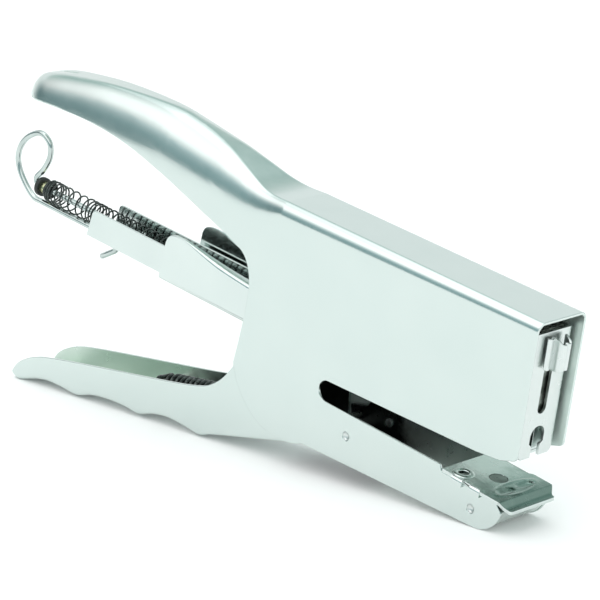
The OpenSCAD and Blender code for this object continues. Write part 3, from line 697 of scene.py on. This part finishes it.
# ---------------------------------------------------------------- anvil plate
ANVIL_BACK, ANVIL_WIDE, ANVIL_BEND, ANVIL_TIP = -11.4, 2.0, 9.4, 12.7
ANVIL_HW, LIP_HW, PLATE_T = 10.4, 8.7, 1.0
LIP = smooth([(ANVIL_BEND, 0), (9.7, -0.12), (10.3, -0.75), (10.9, -1.4), (11.5, -1.72), (12.1, -1.8),
              (ANVIL_TIP, -1.78)], 4)
POCKET_X, POCKET_Y, POCKET_W, POCKET_L, POCKET_DEEP = 6.0, 3.7, 1.5, 3.2, 0.55
RIM_X, RIM_Y, RIM_HIGH, RIM_AT, RIM_SOFT = 3.0, 8.4, 0.16, 0.92, 0.12
WIDEN_RUN, TAPER_RUN, TIP_CORNER = 0.9, 2.4, 0.8
STATION, ACROSS = 0.3, 36  # spacing of the plate's sections, and steps from its middle to its edge
TAB_STARTS, TAB_LENGTH = (-7.6, -1.2), 3.8
RIVET_HOLE_R = 2.58
EYELET, EYELET_R, EYELET_HOLE_R = (-6.6, -6.4), 2.2, 1.9
EYELET_BEND = [math.radians(a) for a in range(0, 181, 15)]
EYELET_RING = [(3.0, -0.5)] + [(EYELET_R + 0.8 * math.cos(a), 0.45 * math.sin(a) - 0.02) for a in EYELET_BEND]
EYELET_RING += [(1.4, -0.5)]


def anvil_top(x, y):
    """Pressed relief of the plate: two clinch pockets end to end with a low rim round them."""
    px, py = (x - POCKET_X) / POCKET_W, (abs(y) - POCKET_Y) / POCKET_L
    hollow = max(0.0, 1 - px * px - py ** 4) ** 0.7
    around = math.hypot((x - POCKET_X) / RIM_X, y / RIM_Y)
    rim = RIM_HIGH * math.exp(-((around - RIM_AT) / RIM_SOFT) ** 2)
    return rim - POCKET_DEEP * hollow


def anvil_half_width(x):
    """Half width of the plate, which widens in front of the jaw's sides and narrows along its lip."""
    if x < ANVIL_WIDE:
        return HALF_W
    wide = HALF_W + (ANVIL_HW - HALF_W) * min(1, (x - ANVIL_WIDE) / WIDEN_RUN)
    turn = min(1, max(0, (x - ANVIL_BEND) / TAPER_RUN))
    corner = min(1, max(0, x - (ANVIL_TIP - TIP_CORNER)) / TIP_CORNER)
    taper = (ANVIL_HW - LIP_HW) * turn * turn * (3 - 2 * turn)
    return wide - taper - TIP_CORNER * (1 - math.sqrt(1 - corner * corner))


def anvil_edge(p):
    """Whether a face is on the plate's bright sheared edge, or on a folded tab."""
    tab = abs(p.center.y) > HALF_W - 0.5 and p.center.x < ANVIL_WIDE
    tip = p.normal.x > 0.8 and p.center.x > ANVIL_TIP - 0.1
    return abs(p.normal.y) > 0.6 or tab or tip


def anvil_stations():
    """Sections of the plate along its length, as (x, z, and the surface's normal there)."""
    flat = [ANVIL_BACK + STATION * i for i in range(80)]
    stations = [(x, 0.0, 0.0, 1.0) for x in flat if x < ANVIL_BEND - 0.1]
    for i, (x, z) in enumerate(LIP):
        before, after = LIP[max(i - 1, 0)], LIP[min(i + 1, len(LIP) - 1)]
        run = math.dist(before, after)
        stations.append((x, z, (before[1] - after[1]) / run, (after[0] - before[0]) / run))
    return stations


def anvil_tab(start, side):
    """Tab folded down over the jaw's side at one edge of the plate."""
    fold = [(8.7, -0.97), (8.7, -0.02)] + arc(9.35, -0.9, 0.9, 90, 0, 6)
    fold += [(10.25, -2), (9.55, -2), (9.55, -0.97)]
    return loft("tab", [[(x, side * y, z) for y, z in fold] for x in (start, start + TAB_LENGTH)])


def build_anvil():
    """Pressed plate with its lip, tabs, rivet hole and eyelet."""
    # Points across the plate, a little closer together towards its edges
    steps = range(-ACROSS, ACROSS + 1)
    across = [math.sin(math.pi / 2 * k / ACROSS) * 0.35 + 0.65 * k / ACROSS for k in steps]
    rings = []
    for x, z, nx, nz in anvil_stations():
        half = anvil_half_width(x)
        steep = nz if x > ANVIL_BEND else 1
        top = [(x, half * k, z + anvil_top(x, half * k) * steep) for k in across]
        under = [(x - PLATE_T * nx, half * k, z - PLATE_T * nz) for k in reversed(across)]
        rings.append(top + under)
    plate = loft("plate", rings)
    for start in TAB_STARTS:
        for side in (-1, 1):
            combine(plate, anvil_tab(start, side), "UNION")
    combine(plate, cylinder("hole", (0, 0, 0), (0, 0, 1), RIVET_HOLE_R, 8))
    turned = [[(EYELET[0] + r * math.cos(a), EYELET[1] + r * math.sin(a), z) for r, z in EYELET_RING]
              for a in circle(48)]
    combine(plate, cylinder("hole", (*EYELET, 0), (0, 0, 1), EYELET_HOLE_R, 8))
    combine(plate, loft("eyelet", turned, caps=False, closed=True), "UNION")
    plate.name = "anvil_pressing"
    return piece(plate, ANVIL_PLANE, "anvil", "body", ["anvil_plate"], bevel=0.05, angle=50, merge=0.004,
                 inner=("bright", anvil_edge))


# ---------------------------------------------------------------- driver knob
KNOB_BACK, KNOB_FRONT = 81.9, 85.6
KNOB_PLAN = smooth([(KNOB_BACK + 0.45, -3.3), (KNOB_BACK + 0.95, -2.5), (KNOB_BACK + 0.85, -1.7),
                    (KNOB_BACK + 0.45, -1.15), (KNOB_BACK + 1.0, -0.75), (KNOB_FRONT - 1.3, -0.5),
                    (KNOB_FRONT - 0.5, 0.05), (KNOB_FRONT - 0.45, 0.9), (KNOB_FRONT - 0.85, 1.5),
                    (KNOB_FRONT - 0.45, 2.2), (KNOB_FRONT - 1.0, 3.0), (KNOB_BACK + 1.2, 3.5),
                    (KNOB_BACK + 0.5, 3.6)], 5)
KNOB_LOW = [(0, 32.2), (0.9, 31.5), (2.6, 31.2), (3.3, 31.5), (3.7, 32.0)]
KNOB_HIGH = [(0, 40.3), (0.9, 40.1), (1.7, 39.8), (2.7, 39.3), (3.3, 38.8), (3.7, 38.2)]
KNOB_HALF_T = 0.34


def build_knob():
    """Strip of sheet folded round the thumb tab; its upper and lower edges fall away towards the front."""
    rings = []
    for i, (u, y) in enumerate(KNOB_PLAN):
        a, b = KNOB_PLAN[max(i - 1, 0)], KNOB_PLAN[min(i + 1, len(KNOB_PLAN) - 1)]
        run = math.dist(a, b)
        nu, ny = (a[1] - b[1]) / run * KNOB_HALF_T, (b[0] - a[0]) / run * KNOB_HALF_T
        out = max(0.0, u - KNOB_BACK)
        low, high = along(out, KNOB_LOW), along(out, KNOB_HIGH)
        near = (max(u + nu, KNOB_BACK + 0.02), y + ny)
        far = (max(u - nu, KNOB_BACK + 0.02), y - ny)
        rings.append([(*near, low), (*far, low), (*far, high), (*near, high)])
    knob = loft("folded_knob", rings)
    return piece(knob, HEAD, "satin", "driver", ["driver_knob"], bevel=0.08, merge=0.004)


# ---------------------------------------------------------------- carried-over CAD nodes
CAD_LOOK = {
    "anvil_channel": "throat", "side_rivets": "satin", "anvil_rivet": "rivet",
    "pivot_pin": "shell", "pivot_sleeve": "inner", "front_spring_pin": "inner", "rear_spring_pin": "inner",
    "front_housing": "satin", "staple_rail": "bright", "rail_rivets": "inner", "driver_carrier": "inner",
    "driver_pin": "bright", "driver_blade": "inner", "knob_rivet": "bright",
    "grommet": "rubber", "end_sleeve": "brass", "spring_washer": "rubber", "follower": "inner",
}


def finish_cad_node(node, look):
    """Gives a carried-over CAD node its material, clean flat faces and softened edges."""
    node.data.materials.clear()
    node.data.materials.append(MAT[look])
    weld = node.modifiers.new("weld", "WELD")
    weld.merge_threshold = 0.004 * MM
    flat = node.modifiers.new("flat", "DECIMATE")
    flat.decimate_type = "DISSOLVE"
    flat.angle_limit = math.radians(0.6)
    edges = node.modifiers.new("soft edges", "BEVEL")
    edges.width = 0.1 * MM
    edges.segments = 2
    edges.limit_method = "ANGLE"
    edges.angle_limit = math.radians(34)
    edges.use_clamp_overlap = False
    node.modifiers.new("flat faces", "WEIGHTED_NORMAL")


# ---------------------------------------------------------------- floor, light and camera
FLOOR_HALF = 6
FLOOR_Z = -0.00005  # just under the lowest point, so that the two surfaces aren't in one plane


def studio_floor():
    mat, tree, bsdf = node_material("paper_floor")
    tone = ramp(tree, noise(tree, 40, 3), [(0.3, (0.93, 0.935, 0.93)), (0.7, (0.95, 0.955, 0.95))])
    tree.links.new(tone, bsdf.inputs["Base Color"])
    bsdf.inputs["Roughness"].default_value = 0.7
    bsdf.inputs["Specular IOR Level"].default_value = 0.15
    # The floor glows faintly: painted light, which lightens the shadows on it and its reflection in the
    # chrome
    bsdf.inputs["Emission Color"].default_value = (1, 1, 1, 1)
    bsdf.inputs["Emission Strength"].default_value = 0.07
    corners = [(x * FLOOR_HALF, y * FLOOR_HALF, 0) for x, y in ((-1, -1), (1, -1), (1, 1), (-1, 1))]
    floor = mesh_object("studio_floor", corners, [(0, 1, 2, 3)])
    floor.location.z = FLOOR_Z
    floor.data.materials.append(mat)


def studio_world():
    """Pale room whose near and far sides have grey-green bands, for the chrome to reflect."""
    world = bpy.data.worlds.new("studio")
    bpy.context.scene.world = world
    world.use_nodes = True
    tree = world.node_tree
    tree.nodes.clear()
    out = tree.nodes.new("ShaderNodeOutputWorld")
    back = tree.nodes.new("ShaderNodeBackground")
    coord = tree.nodes.new("ShaderNodeTexCoord")
    split = tree.nodes.new("ShaderNodeSeparateXYZ")
    tree.links.new(coord.outputs["Generated"], split.inputs[0])
    near = ramp(tree, split.outputs["Z"], [(0.0, (0.29, 0.44, 0.46)), (0.20, (0.33, 0.49, 0.51)),
                                           (0.30, (0.50, 0.65, 0.67)), (0.38, (0.86, 0.97, 0.98)),
                                           (0.46, (1.38, 1.39, 1.39)), (0.54, (1.65, 1.65, 1.65)),
                                           (0.88, (1.55, 1.55, 1.55)), (1.0, (1.9, 1.9, 1.9))])
    far = ramp(tree, split.outputs["Z"], [(0.0, (1.0, 1.03, 1.03)), (0.30, (0.93, 0.98, 0.97)),
                                          (0.44, (1.05, 1.09, 1.10)), (0.53, (0.80, 0.88, 0.86)),
                                          (0.67, (0.41, 0.57, 0.54)), (0.72, (0.48, 0.63, 0.61)),
                                          (0.84, (0.72, 0.81, 0.81)), (1.0, (1.8, 1.8, 1.8))])
    edge = map_range(tree, split.outputs["X"], 0.55, 1.0, -0.74, -0.63)
    side = map_range(tree, split.outputs["Y"], 0.0, 1.0, -0.36, 0.10)
    shade = tree.nodes.new("ShaderNodeMix")
    shade.data_type, shade.blend_type = "RGBA", "MULTIPLY"
    shade.inputs["Factor"].default_value = 1.0
    tree.links.new(near, shade.inputs["A"])
    tree.links.new(edge, shade.inputs["B"])
    blend = tree.nodes.new("ShaderNodeMix")
    blend.data_type = "RGBA"
    tree.links.new(side, blend.inputs["Factor"])
    tree.links.new(shade.outputs["Result"], blend.inputs["A"])
    tree.links.new(far, blend.inputs["B"])
    tree.links.new(blend.outputs["Result"], back.inputs["Color"])
    back.inputs["Strength"].default_value = 1.0
    tree.links.new(back.outputs[0], out.inputs["Surface"])


def softbox(name, place, aim, size, power):
    """Rectangular area light at a place, pointed at aim."""
    light = bpy.data.lights.new(name, "AREA")
    light.shape = "RECTANGLE"
    light.size, light.size_y = size
    light.energy = power
    obj = bpy.data.objects.new(name, light)
    bpy.context.scene.collection.objects.link(obj)
    obj.location = place
    obj.rotation_mode = "QUATERNION"
    obj.rotation_quaternion = (Vector(aim) - Vector(place)).to_track_quat("-Z", "Y")


# Camera fitted to the photo: what it looks at, its direction in radians, its distance, and its focal length
# in pixels of an image 600 pixels wide
TARGET = Vector((13.91, 0, 45.25)) * MM
AZIMUTH, ELEVATION, DISTANCE = 0.79192, 0.26186, 0.760
FOCAL_PIXELS, IMAGE_PIXELS, SENSOR = 2761, 600, 36


def studio_camera():
    level = math.cos(ELEVATION)
    away = Vector((math.sin(AZIMUTH) * level, -math.cos(AZIMUTH) * level, math.sin(ELEVATION)))
    camera = bpy.data.objects.new("camera", bpy.data.cameras.new("camera"))
    bpy.context.scene.collection.objects.link(camera)
    camera.data.sensor_width = SENSOR
    camera.data.lens = SENSOR * FOCAL_PIXELS / IMAGE_PIXELS
    camera.data.clip_start, camera.data.clip_end = 0.01, 20
    camera.location = TARGET + away * DISTANCE
    camera.rotation_mode = "QUATERNION"
    camera.rotation_quaternion = (-away).to_track_quat("-Z", "Y")
    bpy.context.scene.camera = camera
    bpy.context.scene.view_settings.view_transform = "Standard"


# ---------------------------------------------------------------- the whole scene
build_shell()
build_lever()
build_channel()
build_wire()
build_feed_spring()
build_return_spring()
build_torsion_spring()
build_anvil()
build_knob()
for name, look in CAD_LOOK.items():
    finish_cad_node(nodes[name], look)
studio_floor()
studio_world()
softbox("overhead", (-0.25, 0.35, 1.5), (0, 0, 0), (1.6, 1.4), 3)
studio_camera()
